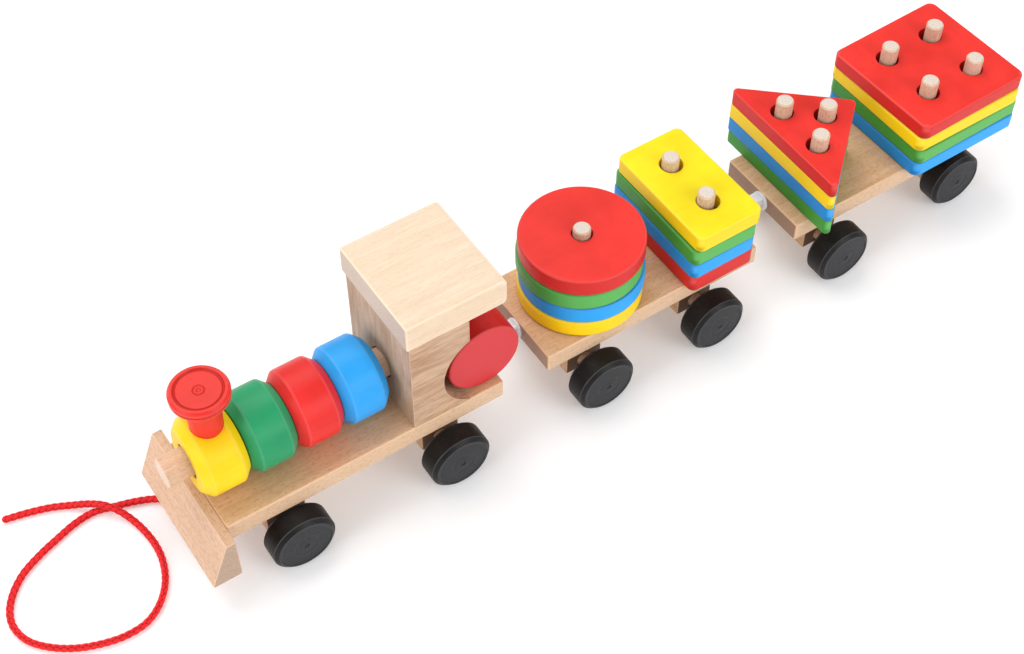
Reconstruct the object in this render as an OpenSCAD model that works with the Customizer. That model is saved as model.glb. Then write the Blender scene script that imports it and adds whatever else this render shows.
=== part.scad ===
// Pull-along stacking train: a locomotive with lift-off boiler rings and two
// flat wagons carrying lift-off disc, rectangle, triangle and square plates.
// Units: mm. +X runs from the locomotive's nose to the last wagon, +Z is up,
// the floor is z = 0 and the train is centred on x = 0, y = 0.

/* [Deck] */
// Width of every deck board
deck_width = 46; // [40:0.5:52]
// Thickness of every deck board
deck_thickness = 8.9; // [7:0.1:12]
// Height of the deck's top face above the floor
deck_top = 36.1; // [33:0.1:40]
// Length of the locomotive's deck
loco_length = 121.6; // [110:0.2:135]
// Length of the first wagon's deck
wagon_1_length = 104.8; // [95:0.2:115]
// Length of the second wagon's deck
wagon_2_length = 117.4; // [105:0.2:130]
// Gap between two neighbouring decks
deck_gap = 21.0; // [16:0.1:28]

/* [Bumper] */
// Length of the bumper across the train
bumper_width = 61; // [50:0.5:70]
// Thickness of the bumper at its top
bumper_top_thickness = 4.0; // [3:0.1:8]
// Thickness of the bumper at its foot
bumper_foot_thickness = 12.0; // [8:0.1:16]
// Height of the bumper
bumper_height = 21.4; // [15:0.1:26]

/* [Cab] */
// Length of the cab along the train
cab_length = 25.8; // [20:0.1:32]
// Height of the cab above the deck, up to the roof's underside
cab_height = 48.5; // [40:0.1:56]
// Radius of the round cove in the cab's back
cove_radius = 19.6; // [15:0.1:24]
// Radius of the drum behind the cab
drum_radius = 15.9; // [12:0.1:18]
// Half the length of the drum
drum_half = 19.7; // [14:0.1:22]
// Thickness of the roof board
roof_thickness = 12.8; // [9:0.1:16]
// Length of the roof board
roof_length = 43.4; // [36:0.1:50]
// How far the roof stands out on each side of the cab
roof_overhang = 0.8; // [0:0.1:3]

/* [Boiler] */
// Radius of the boiler rod
rod_radius = 6.0; // [5:0.1:8]
// Radius of a boiler ring
ring_radius = 16.2; // [13:0.1:17]
// Radius of the hole in a boiler ring
ring_hole = 7.0; // [6:0.1:9]
// Thickness of a boiler ring along the rod
ring_thickness = 19.4; // [15:0.1:22]
// Size of the wide bevel on a ring's two rims
ring_bevel = 3.4; // [1:0.1:5]
// Radius of the chimney's flange
chimney_flange = 11.4; // [8:0.1:13]
// Radius of the chimney's stem
chimney_stem = 6.3; // [5:0.1:7]
// Height of the chimney's top above the floor
chimney_top = 89.5; // [80:0.5:95]

/* [Wheels] */
// Radius of a wheel
wheel_radius = 13.3; // [11:0.1:15]
// Thickness of a wheel
wheel_thickness = 11.0; // [8:0.1:13]
// Half the width of a wheel pair over its outer faces
wheel_half = 31.2; // [28:0.1:34]
// Side play that the wagons' wheel pairs have taken up
side_play = 3.5; // [0:0.1:3.5]
// Radius of an axle
axle_radius = 3.0; // [2:0.1:4]
// Length of an axle block along the train
block_length = 17; // [12:0.5:22]
// Half the width of an axle block
block_half = 16.6; // [12:0.1:20]
// Height of an axle block under the deck
block_height = 19; // [14:0.5:22]

/* [Plates] */
// Radius of a disc plate
disc_radius = 25.6; // [20:0.1:28]
// Thickness of a disc plate
disc_thickness = 8.3; // [6:0.1:10]
// Size of a rectangle plate along the train
rectangle_short = 31.8; // [25:0.1:36]
// Size of a rectangle plate across the train
rectangle_long = 56.2; // [46:0.1:60]
// Thickness of a rectangle plate
rectangle_thickness = 7.9; // [6:0.1:10]
// Width of a triangle plate's base, across the train
triangle_base = 72.0; // [60:0.1:73]
// Depth of a triangle plate, along the train
triangle_depth = 40.6; // [32:0.1:48]
// Thickness of a triangle plate
triangle_thickness = 7.4; // [6:0.1:10]
// Side of a square plate
square_side = 58.0; // [46:0.1:60]
// Thickness of a square plate
square_thickness = 7.4; // [6:0.1:10]

/* [Pegs] */
// Radius of a peg
peg_radius = 3.65; // [3:0.05:5]
// Height of a peg above the deck
peg_height = 36.5; // [32:0.5:45]
// Radius of the holes in the rectangle, triangle and square plates
plate_hole = 4.9; // [4:0.05:6]
// Radius of the hole in a disc plate
disc_hole = 4.3; // [4:0.05:6]
// Distance between the holes of a square plate
square_pitch = 25.2; // [20:0.1:30]
// Distance between the holes of a rectangle plate
rectangle_pitch = 24.4; // [20:0.1:30]
// How much closer together the rectangle's two pegs stand than its holes
rectangle_toe_in = 0.8; // [0:0.1:1]
// Distance between the two holes near a triangle plate's base
triangle_pitch = 23.4; // [18:0.1:28]

/* [Coupling] */
// Radius of the coupling's flange
coupling_flange = 4.4; // [3.5:0.1:4.4]
// Radius of the coupling's eye and fork
coupling_eye = 3.8; // [3:0.1:4.4]
// Radius of the coupling's upright pin
coupling_pin = 1.9; // [1.4:0.05:2.4]

/* [Cord] */
// Diameter of the pull cord
cord_diameter = 3.0; // [2:0.1:4]

/* [Hidden] */
$fn = 72;
eps = 0.01;

total_length = 397.8;
bumper_front = -total_length / 2;
loco_rear = bumper_front + bumper_foot_thickness + loco_length;
deck_front = loco_rear - loco_length;
wagon_1_front = loco_rear + deck_gap;
wagon_1_rear = wagon_1_front + wagon_1_length;
wagon_2_front = wagon_1_rear + deck_gap;
wagon_2_rear = wagon_2_front + wagon_2_length;
deck_bottom = deck_top - deck_thickness;

cab_front = -106.0;
roof_front = cab_front - 1.3;
roof_bottom = deck_top + cab_height;
cove_x = -72.4;
cove_z = 54.0;
drum_x = -71.8;
drum_z = deck_top + drum_radius;

ring_z = deck_top + 0.25 + ring_radius;
rod_z = ring_z + 0.4;
rod_front = -198.8;
rod_seat = 12;
yellow_x = -188.7;
green_x = -168.9;
red_x = -149.3;
blue_x = -129.7;
chimney_x = -178.3;
chimney_seat = ring_z + ring_hole + 1.6;

loco_axle_front_x = -160.8;
loco_axle_rear_x = -91.4;
wagon_1_axle_front_x = wagon_1_front + 22.3;
wagon_1_axle_rear_x = wagon_1_front + 79.0;
wagon_2_axle_front_x = wagon_2_front + 21.3;
wagon_2_axle_rear_x = wagon_2_front + 91.9;
axle_z = wheel_radius;
loco_front_play = 1.4;
loco_rear_play = 2.6;
axle_bore = axle_radius + 0.08;

disc_x = wagon_1_front + 30.8;
rectangle_x = wagon_1_front + 83.0;
triangle_x = wagon_2_front + 6.6;
triangle_base_row = 9.8;
triangle_tip_row = 23.6;
square_x = wagon_2_front + 87.8;

// How each loose plate has settled, bottom one first: shift in X, shift in Y, turn
disc_settle = [[0, 0, 0], [0.4, -0.3, 0], [-0.45, 0.25, 0], [0.1, 0, 0]];
rectangle_settle = [[-0.3, 0.2, 0], [-0.5, 0.2, 0.4], [-0.3, 0.1, -0.3], [0.6, -0.3, 0.4]];
triangle_settle = [[-0.2, 0.2, 0], [-0.5, 0.4, 0.3], [-0.6, 0.5, 0], [-0.5, 0.4, -0.3]];
square_settle = [[0.3, -0.1, 0.6], [0.2, 0.1, 1.2], [-0.2, 0.3, 0.3], [-0.35, 0.35, 1.9]];

coupling_z = deck_top - deck_thickness / 2;
coupling_1_x = loco_rear + deck_gap / 2;
coupling_2_x = wagon_1_rear + deck_gap / 2;

cord_r = cord_diameter / 2;
cord_route = [
    [-182.0, 2.0, 28.0],
    [-182.6, 4.0, 22.0],
    [-185.4, 10.0, 10.0],
    [-190.4, 19.0, 3.0],
    [-197.4, 26.1, 1.5],
    [-205.0, 29.6, 1.5],
    [-213.0, 32.0, 1.5],
    [-220.5, 33.9, 1.5],
    [-228.5, 33.2, 1.5],
    [-237.5, 30.5, 1.5],
    [-246.0, 27.5, 1.5],
    [-254.5, 23.4, 1.5],
    [-261.2, 17.6, 1.5],
    [-265.6, 10.8, 1.5],
    [-267.0, 3.6, 1.5],
    [-264.8, -4.4, 1.5],
    [-259.0, -11.4, 1.5],
    [-251.5, -16.8, 1.5],
    [-243.0, -20.4, 1.5],
    [-234.0, -22.4, 1.5],
    [-225.0, -21.8, 1.5],
    [-217.5, -17.6, 1.5],
    [-211.4, -10.4, 1.5],
    [-207.8, -1.4, 1.5],
    [-206.8, 8.0, 1.5],
    [-208.2, 18.4, 1.6],
    [-211.4, 26.4, 3.2],
    [-215.6, 32.0, 4.7],
    [-220.4, 37.0, 3.5],
    [-226.4, 41.6, 1.7],
    [-233.6, 45.2, 1.5],
    [-242.4, 48.0, 1.5],
    [-252.0, 50.2, 1.5]
];

wood = [0.86, 0.68, 0.48];
pale_wood = [0.93, 0.80, 0.63];
red = [0.85, 0.10, 0.10];
yellow = [0.96, 0.80, 0.05];
green = [0.12, 0.50, 0.22];
blue = [0.08, 0.38, 0.78];
black = [0.05, 0.05, 0.055];
plastic = [0.90, 0.90, 0.92];

// Cylinder lying along X, from x to x + l
module x_rod(x, z, r, l) {
    translate([x, 0, z])
    rotate([0, 90, 0])
    cylinder(r = r, h = l);
}

// Cylinder lying along Y, centred on y = 0
module y_rod(x, z, r, l) {
    translate([x, 0, z])
    rotate([90, 0, 0])
    cylinder(r = r, h = l, center = true);
}

// Board with rounded upright corners, standing on z
module board(x0, x1, w, z, t, r) {
    translate([x0 + r, -w / 2, z])
    cube([x1 - x0 - 2 * r, w, t]);
    translate([x0, -w / 2 + r, z])
    cube([x1 - x0, w - 2 * r, t]);
    for (x = [x0 + r, x1 - r])
        for (y = [-w / 2 + r, w / 2 - r])
            translate([x, y, z])
            cylinder(r = r, h = t, $fn = 32);
}

// Deck board with blind holes for its pegs
module deck(x0, x1, pegs) {
    difference() {
        board(x0, x1, deck_width, deck_bottom, deck_thickness, 1.0);
        for (p = pegs)
            translate([p[0], p[1], deck_top - 6])
            cylinder(r = peg_radius, h = 7);
    }
}

// Peg with an eased top, glued 6 mm into the deck
module peg(x, y) {
    e = 0.7;
    translate([x, y, deck_top - 6])
    rotate_extrude()
    polygon([
        [0, 0],
        [peg_radius, 0],
        [peg_radius, peg_height + 6 - e],
        [peg_radius - e, peg_height + 6],
        [0, peg_height + 6]
    ]);
}

// Block under a deck with the bore that the axle turns in
module axle_block(x) {
    difference() {
        translate([x - block_length / 2, -block_half, deck_bottom - block_height])
        cube([block_length, 2 * block_half, block_height]);
        y_rod(x, axle_z, axle_bore, 2 * block_half + 2);
    }
}

// Axle with its ends let into the wheels
module axle(x, shift) {
    translate([0, shift, 0])
    y_rod(x, axle_z, axle_radius, 2 * (wheel_half - 2.5));
}

// Profile of a wheel, outer face up, blind axle hole from below
module wheel_profile() {
    t = wheel_thickness;
    r = wheel_radius;
    polygon([
        [axle_radius, 0],
        [r - 1.2, 0],
        [r, 1.2],
        [r, t - 2.0],
        [r - 2.0, t - 0.2],
        [r - 2.4, t - 0.2],
        [r - 2.8, t - 0.5],
        [1.2, t],
        [0.8, t - 0.5],
        [0, t - 0.5],
        [0, t - 2.5],
        [axle_radius, t - 2.5]
    ]);
}

// Two wheels on one axle, pushed sideways by shift
module wheel_pair(x, shift) {
    for (s = [-1, 1])
        translate([x, shift + s * (wheel_half - wheel_thickness), axle_z])
        rotate([-90 * s, 0, 0])
        rotate_extrude()
        wheel_profile();
}

// Boiler ring with broad bevels, front face at x
module boiler_ring(x) {
    t = ring_thickness;
    r = ring_radius;
    b = ring_bevel;
    translate([x, 0, ring_z])
    rotate([0, 90, 0])
    rotate_extrude()
    polygon([
        [ring_hole, 0],
        [r - b, 0],
        [r, b],
        [r, t - b],
        [r - b, t],
        [ring_hole, t]
    ]);
}

// Height of the underside of the n-th plate of a stack
function plate_z(n, t) = deck_top + 0.02 + n * (t + 0.02);

// Moves a plate by its settling s about the point (x, 0)
module settled(x, s) {
    translate([x + s[0], s[1], 0])
    rotate([0, 0, s[2]])
    translate([-x, 0, 0])
    children();
}

// Round plate with one hole
module disc(n) {
    t = disc_thickness;
    e = 1.2;
    settled(disc_x, disc_settle[n])
    translate([disc_x, 0, plate_z(n, t)])
    rotate_extrude($fn = 96)
    polygon([
        [disc_hole, 0],
        [disc_radius - e, 0],
        [disc_radius, e],
        [disc_radius, t - e],
        [disc_radius - e, t],
        [disc_hole, t]
    ]);
}

// Rectangle plate with two holes
module rectangle(n) {
    t = rectangle_thickness;
    settled(rectangle_x, rectangle_settle[n])
    difference() {
        board(
            rectangle_x - rectangle_short / 2, rectangle_x + rectangle_short / 2,
            rectangle_long, plate_z(n, t), t, 3.0
        );
        for (y = [-1, 1])
            translate([rectangle_x, y * rectangle_pitch / 2, plate_z(n, t) - 1])
            cylinder(r = plate_hole, h = t + 2);
    }
}

// Triangle plate, base across the train and tip to the rear, with three holes
module triangle(n) {
    t = triangle_thickness;
    r = 2.0;
    slope = atan2(triangle_depth, triangle_base / 2);
    inset = r / tan(slope / 2);
    tip = r / cos(slope);
    settled(triangle_x + 14, triangle_settle[n])
    difference() {
        hull() {
            for (s = [-1, 1])
                translate([
                    triangle_x + r, s * (triangle_base / 2 - inset), plate_z(n, t)
                ])
                cylinder(r = r, h = t, $fn = 24);
            translate([triangle_x + triangle_depth - tip, 0, plate_z(n, t)])
            cylinder(r = r, h = t, $fn = 24);
        }
        for (p = triangle_peg_places())
            translate([p[0], p[1], plate_z(n, t) - 1])
            cylinder(r = plate_hole, h = t + 2);
    }
}

// Square plate with four holes
module square_plate(n) {
    t = square_thickness;
    settled(square_x, square_settle[n])
    difference() {
        board(
            square_x - square_side / 2, square_x + square_side / 2,
            square_side, plate_z(n, t), t, 3.6
        );
        for (p = square_peg_places())
            translate([p[0], p[1], plate_z(n, t) - 1])
            cylinder(r = plate_hole, h = t + 2);
    }
}

// Places of the pegs on the decks
function disc_peg_places() = [[disc_x, 0]];
function rectangle_peg_places() = [
    for (s = [-1, 1]) [rectangle_x, s * (rectangle_pitch - rectangle_toe_in) / 2]
];
function triangle_peg_places() = [
    [triangle_x + triangle_base_row, -triangle_pitch / 2],
    [triangle_x + triangle_base_row, triangle_pitch / 2],
    [triangle_x + triangle_tip_row, 0]
];
function square_peg_places() = [
    for (a = [-1, 1])
        for (b = [-1, 1]) [square_x + a * square_pitch / 2, b * square_pitch / 2]
];

module loco_deck() {
    color(wood)
    difference() {
        deck(deck_front, loco_rear, []);
        translate([-182, 2, deck_bottom - 1])
        cylinder(r = cord_r + 0.02, h = 6, $fn = 32);
    }
}

module front_bumper() {
    f = bumper_foot_thickness;
    color(pale_wood)
    translate([deck_front, bumper_width / 2, deck_top - bumper_height])
    rotate([90, 0, 0])
    linear_extrude(height = bumper_width)
    polygon([
        [-f, 0],
        [0, 0],
        [0, bumper_height],
        [-bumper_top_thickness, bumper_height],
        [-f, 1.4]
    ]);
}

module loco_block_front() {
    color(wood) axle_block(loco_axle_front_x);
}

module loco_block_rear() {
    color(wood) axle_block(loco_axle_rear_x);
}

module cab_body() {
    color(pale_wood)
    difference() {
        translate([cab_front, -deck_width / 2, deck_top])
        cube([cab_length, deck_width, cab_height]);
        y_rod(cove_x, cove_z, cove_radius, deck_width + 2);
        x_rod(cab_front - 1, rod_z, rod_radius + 0.7, 3);
        x_rod(cab_front - 1, rod_z, rod_radius, rod_seat + 1);
    }
}

// Roof board with its rear edges rounded over
module cab_roof() {
    w = deck_width + 2 * roof_overhang;
    r = 2.4;
    x1 = roof_front + roof_length;
    color(pale_wood) {
        translate([roof_front, -w / 2, roof_bottom])
        cube([roof_length - r, w, roof_thickness]);
        translate([x1 - r - eps, -w / 2, roof_bottom + r])
        cube([r + eps, w, roof_thickness - 2 * r]);
        for (z = [roof_bottom + r, roof_bottom + roof_thickness - r])
            y_rod(x1 - r, z, r, w);
    }
}

module boiler_rod() {
    l = cab_front + rod_seat - rod_front;
    e = 0.6;
    color(pale_wood)
    translate([rod_front, 0, rod_z])
    rotate([0, 90, 0])
    rotate_extrude()
    polygon([
        [0, 0],
        [rod_radius - e, 0],
        [rod_radius, e],
        [rod_radius, l],
        [0, l]
    ]);
}

module firebox_drum() {
    e = 0.8;
    l = 2 * drum_half;
    color(red)
    translate([drum_x, drum_half, drum_z])
    rotate([90, 0, 0])
    rotate_extrude()
    polygon([
        [0, 0],
        [drum_radius - e, 0],
        [drum_radius, e],
        [drum_radius, l - e],
        [drum_radius - e, l],
        [0, l]
    ]);
}

module ring_blue() {
    color(blue) boiler_ring(blue_x);
}

module ring_red() {
    color(red) boiler_ring(red_x);
}

module ring_green() {
    color(green) boiler_ring(green_x);
}

module ring_yellow() {
    color(yellow)
    difference() {
        boiler_ring(yellow_x);
        translate([chimney_x, 0, chimney_seat])
        cylinder(r = chimney_stem + 0.06, h = ring_radius);
    }
}

module chimney() {
    s = chimney_stem;
    f = chimney_flange;
    h = chimney_top - chimney_seat;
    color(red)
    translate([chimney_x, 0, chimney_seat])
    rotate_extrude()
    polygon([
        [0, 0.05],
        [s, 0.05],
        [s, 9],
        [s + 0.5, h - 11],
        [s + 0.9, h - 9.6],
        [f - 3.2, h - 8.0],
        [f - 1.8, h - 6.4],
        [f - 0.5, h - 4.4],
        [f, h - 3.6],
        [f, h - 1.4],
        [f - 0.5, h - 0.4],
        [f - 1.3, h],
        [f - 2.2, h - 0.2],
        [f - 3.2, h - 1.1],
        [1.8, h - 1.5],
        [0, h - 1.5]
    ]);
}

module loco_axle_front() {
    color(wood) axle(loco_axle_front_x, -loco_front_play);
}

module loco_wheels_front() {
    color(black) wheel_pair(loco_axle_front_x, -loco_front_play);
}

module loco_axle_rear() {
    color(wood) axle(loco_axle_rear_x, -loco_rear_play);
}

module loco_wheels_rear() {
    color(black) wheel_pair(loco_axle_rear_x, -loco_rear_play);
}

module wagon_1_deck() {
    color(wood)
    deck(wagon_1_front, wagon_1_rear, concat(disc_peg_places(), rectangle_peg_places()));
}

module wagon_1_block_front() {
    color(wood) axle_block(wagon_1_axle_front_x);
}

module wagon_1_block_rear() {
    color(wood) axle_block(wagon_1_axle_rear_x);
}

module wagon_1_axle_front() {
    color(wood) axle(wagon_1_axle_front_x, -side_play);
}

module wagon_1_wheels_front() {
    color(black) wheel_pair(wagon_1_axle_front_x, -side_play);
}

module wagon_1_axle_rear() {
    color(wood) axle(wagon_1_axle_rear_x, -side_play);
}

module wagon_1_wheels_rear() {
    color(black) wheel_pair(wagon_1_axle_rear_x, -side_play);
}

module wagon_2_deck() {
    color(wood)
    deck(wagon_2_front, wagon_2_rear, concat(triangle_peg_places(), square_peg_places()));
}

module wagon_2_block_front() {
    color(wood) axle_block(wagon_2_axle_front_x);
}

module wagon_2_block_rear() {
    color(wood) axle_block(wagon_2_axle_rear_x);
}

module wagon_2_axle_front() {
    color(wood) axle(wagon_2_axle_front_x, -side_play);
}

module wagon_2_wheels_front() {
    color(black) wheel_pair(wagon_2_axle_front_x, -side_play);
}

module wagon_2_axle_rear() {
    color(wood) axle(wagon_2_axle_rear_x, side_play);
}

module wagon_2_wheels_rear() {
    color(black) wheel_pair(wagon_2_axle_rear_x, side_play);
}

module disc_peg() {
    color(pale_wood)
    for (p = disc_peg_places()) peg(p[0], p[1]);
}

module rectangle_pegs() {
    color(pale_wood)
    for (p = rectangle_peg_places()) peg(p[0], p[1]);
}

module triangle_pegs() {
    color(pale_wood)
    for (p = triangle_peg_places()) peg(p[0], p[1]);
}

module square_pegs() {
    color(pale_wood)
    for (p = square_peg_places()) peg(p[0], p[1]);
}

module disc_yellow() {
    color(yellow) disc(0);
}

module disc_blue() {
    color(blue) disc(1);
}

module disc_green() {
    color(green) disc(2);
}

module disc_red() {
    color(red) disc(3);
}

module rectangle_red() {
    color(red) rectangle(0);
}

module rectangle_blue() {
    color(blue) rectangle(1);
}

module rectangle_green() {
    color(green) rectangle(2);
}

module rectangle_yellow() {
    color(yellow) rectangle(3);
}

module triangle_green() {
    color(green) triangle(0);
}

module triangle_blue() {
    color(blue) triangle(1);
}

module triangle_yellow() {
    color(yellow) triangle(2);
}

module triangle_red() {
    color(red) triangle(3);
}

module square_blue() {
    color(blue) square_plate(0);
}

module square_green() {
    color(green) square_plate(1);
}

module square_yellow() {
    color(yellow) square_plate(2);
}

module square_red() {
    color(red) square_plate(3);
}

// Flanged shank ending in an upright eye, on the rear of the vehicle in front
module coupling_eye_at(x, wall) {
    color(plastic)
    difference() {
        union() {
            x_rod(wall, coupling_z, coupling_flange, 1.8);
            x_rod(wall, coupling_z, 1.7, x - wall - 2.5);
            translate([x, 0, coupling_z - 2])
            cylinder(r = coupling_eye, h = 4);
        }
        translate([x, 0, coupling_z - 3])
        cylinder(r = coupling_pin + 0.06, h = 6);
    }
}

// Flanged fork that holds the eye, on the nose of the vehicle behind
module coupling_fork_at(x, wall) {
    color(plastic)
    difference() {
        union() {
            x_rod(wall - 1.8, coupling_z, coupling_flange, 1.8);
            for (z = [coupling_z - 3.9, coupling_z + 2.3]) {
                translate([x, 0, z])
                cylinder(r = coupling_eye, h = 1.6);
                translate([x, -2.6, z])
                cube([wall - x - 1, 5.2, 1.6]);
            }
            translate([x + 4.6, -2.6, coupling_z - 3.9])
            cube([wall - x - 5.6, 5.2, 7.8]);
        }
        translate([x, 0, coupling_z - 5])
        cylinder(r = coupling_pin, h = 10);
    }
}

// Upright pin fixed in the fork, through the eye
module coupling_pin_at(x) {
    color(plastic)
    translate([x, 0, coupling_z - 4.4])
    rotate_extrude()
    polygon([
        [0, 0],
        [coupling_pin, 0],
        [coupling_pin, 8.3],
        [coupling_pin + 0.7, 8.3],
        [coupling_pin + 0.4, 8.8],
        [0, 8.8]
    ]);
}

module coupling_1_eye() {
    coupling_eye_at(coupling_1_x, loco_rear);
}

module coupling_1_fork() {
    coupling_fork_at(coupling_1_x, wagon_1_front);
}

module coupling_1_pin() {
    coupling_pin_at(coupling_1_x);
}

module coupling_2_eye() {
    coupling_eye_at(coupling_2_x, wagon_1_rear);
}

module coupling_2_fork() {
    coupling_fork_at(coupling_2_x, wagon_2_front);
}

module coupling_2_pin() {
    coupling_pin_at(coupling_2_x);
}

// Points of a smooth curve through the cord's route
function route_point(i) = cord_route[min(max(i, 0), len(cord_route) - 1)];
function spline(i, t) =
    let (a = route_point(i - 1), b = route_point(i))
    let (c = route_point(i + 1), d = route_point(i + 2))
    0.5 * (2 * b + (c - a) * t + (2 * a - 5 * b + 4 * c - d) * t * t
        + (3 * b - a - 3 * c + d) * t * t * t);
cord_points = [
    for (i = [0 : len(cord_route) - 2])
        for (t = [0, 0.5]) spline(i, t),
    cord_route[len(cord_route) - 1]
];
function unit(v) = v / norm(v);
function cord_dir(i) =
    unit(cord_points[min(i + 1, len(cord_points) - 1)] - cord_points[max(i - 1, 0)]);
sides = 8;
function ring_of(i) =
    let (d = cord_dir(i), s = unit(cross(d, [0.06, 0.05, 1])), u = cross(s, d))
    [
        for (k = [0 : sides - 1])
            cord_points[i] + cord_r * (cos(360 * k / sides) * s + sin(360 * k / sides) * u)
    ];
last = len(cord_points) - 1;

module pull_cord() {
    color(red)
    polyhedron(
        points = [for (i = [0 : last]) for (p = ring_of(i)) p],
        faces = concat(
            [[for (k = [0 : sides - 1]) k]],
            [[for (k = [sides - 1 : -1 : 0]) last * sides + k]],
            [
                for (i = [0 : last - 1])
                    for (k = [0 : sides - 1])
                        [i * sides + k, (i + 1) * sides + k, (i + 1) * sides + (k + 1) % sides]
            ],
            [
                for (i = [0 : last - 1])
                    for (k = [0 : sides - 1])
                        [i * sides + k, (i + 1) * sides + (k + 1) % sides, i * sides + (k + 1) % sides]
            ]
        )
    );
}

loco_deck();
front_bumper();
loco_block_front();
loco_block_rear();
cab_body();
cab_roof();
boiler_rod();
firebox_drum();
ring_blue();
ring_red();
ring_green();
ring_yellow();
chimney();
loco_axle_front();
loco_wheels_front();
loco_axle_rear();
loco_wheels_rear();
wagon_1_deck();
wagon_1_block_front();
wagon_1_block_rear();
wagon_1_axle_front();
wagon_1_wheels_front();
wagon_1_axle_rear();
wagon_1_wheels_rear();
disc_peg();
rectangle_pegs();
disc_yellow();
disc_blue();
disc_green();
disc_red();
rectangle_red();
rectangle_blue();
rectangle_green();
rectangle_yellow();
wagon_2_deck();
wagon_2_block_front();
wagon_2_block_rear();
wagon_2_axle_front();
wagon_2_wheels_front();
wagon_2_axle_rear();
wagon_2_wheels_rear();
triangle_pegs();
square_pegs();
triangle_green();
triangle_blue();
triangle_yellow();
triangle_red();
square_blue();
square_green();
square_yellow();
square_red();
coupling_1_eye();
coupling_1_fork();
coupling_1_pin();
coupling_2_eye();
coupling_2_fork();
coupling_2_pin();
pull_cord();
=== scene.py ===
import math

import bmesh
import bpy
from mathutils import Matrix, Vector, noise


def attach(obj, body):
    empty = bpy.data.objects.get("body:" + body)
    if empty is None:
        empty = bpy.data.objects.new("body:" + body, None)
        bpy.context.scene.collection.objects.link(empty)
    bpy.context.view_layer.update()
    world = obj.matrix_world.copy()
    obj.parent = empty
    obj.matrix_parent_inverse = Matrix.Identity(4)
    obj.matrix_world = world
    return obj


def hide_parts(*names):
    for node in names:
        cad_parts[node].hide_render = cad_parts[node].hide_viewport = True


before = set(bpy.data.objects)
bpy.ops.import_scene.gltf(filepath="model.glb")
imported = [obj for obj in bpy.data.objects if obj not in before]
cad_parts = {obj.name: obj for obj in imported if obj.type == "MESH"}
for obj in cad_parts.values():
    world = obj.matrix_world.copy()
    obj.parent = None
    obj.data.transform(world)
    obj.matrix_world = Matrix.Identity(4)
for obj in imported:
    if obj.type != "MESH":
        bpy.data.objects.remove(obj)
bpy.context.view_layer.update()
MM = 0.001

# ---------------------------------------------------------------- camera

cam_data = bpy.data.cameras.new("Camera")
cam = bpy.data.objects.new("Camera", cam_data)
bpy.context.scene.collection.objects.link(cam)
cam_data.sensor_width = 36.0
cam_data.lens = 61.44
cam_data.clip_end = 20.0
eye = Vector((-0.28818, -0.36553, 0.58191))
target = Vector((-0.04502, 0.00196, 0.03))
cam.matrix_world = (
    Matrix.Translation(eye) @ (target - eye).to_track_quat("-Z", "Y").to_matrix().to_4x4()
)
bpy.context.scene.camera = cam
bpy.context.scene.view_settings.view_transform = "Standard"

# ---------------------------------------------------------------- sizes, in mm, as in the CAD

# HALF in a name is half a width or length, R a radius, T a thickness

DECK_TOP = 36.1
DECK_BOTTOM = 27.2
HALF = 23.0
# Front and back end of each deck
LOCO = (-186.9, -65.3)
W1 = (-44.3, 60.5)
W2 = (81.5, 198.9)

BUMPER_HALF = 30.5
BUMPER_HEIGHT = 21.4
# Thickness of the bumper at its top and at its foot
BUMPER_TOP = 4
BUMPER_FOOT = 12

AXLE_Z = 13.3
AXLE_R = 3.0
AXLE_BORE = 3.08
AXLE_HALF = 28.7
# From the middle of a wheel pair to a wheel's inner face
WHEEL_INNER = 20.2
BLOCK_HALF_LENGTH = 8.5
BLOCK_HALF_WIDTH = 16.6
BLOCK_BOTTOM = 8.2

CAB_FRONT = -106.0
CAB_BACK = -80.2
CAB_TOP = 84.5
# The round cove in the cab's back, where it meets the deck's top and where it meets the back
COVE_X = -72.4
COVE_Z = 54.0
COVE_R = 19.6
COVE_FOOT_X = -80.38
COVE_HEAD_Z = 71.98
COVE_STEPS = 48
ROOF_FRONT = -107.3
ROOF_BACK = -63.9
ROOF_BOTTOM = 84.6
ROOF_TOP = 97.4
ROOF_HALF = 23.8
DRUM_X = -71.8
DRUM_R = 15.9
DRUM_HALF = 19.7

RING_R = 16.2
RING_HOLE = 7.0
RING_T = 19.4
RING_BEVEL = 3.4
RING_Z = DECK_TOP + 0.25 + RING_R
ROD_Z = RING_Z + 0.4
ROD_R = 6.0
ROD_FRONT = -198.8
ROD_LENGTH = 104.8
CHIMNEY_X = -178.3
CHIMNEY_SEAT = RING_Z + RING_HOLE + 1.6
CHIMNEY_TOP = 89.5
CHIMNEY_STEM = 6.3
CHIMNEY_HOLE = 6.36

PEG_R = 3.65
PEG_SUNK = 5.9
DISC_R = 25.6
# Gap that keeps stacked plates from sharing a face
PLATE_GAP = 0.02
# Middle of each stack, and the base of the triangle
DISC_X = W1[0] + 30.8
RECT_X = W1[0] + 83.0
TRI_X = W2[0] + 6.6
SQ_X = W2[0] + 87.8

COUPLING_Z = (DECK_TOP + DECK_BOTTOM) / 2
EYE_R = 3.8
PIN_R = 1.9
NECK_HALF = 2.6
# Degrees from the train's middle line at which a tongue's round end starts
TONGUE_GAP = 43
TONGUE_STEPS = 24

# How far the floor lies under the wheels, in metres
FLOOR_GAP = 0.0002

CORD_D = 3.0
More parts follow.
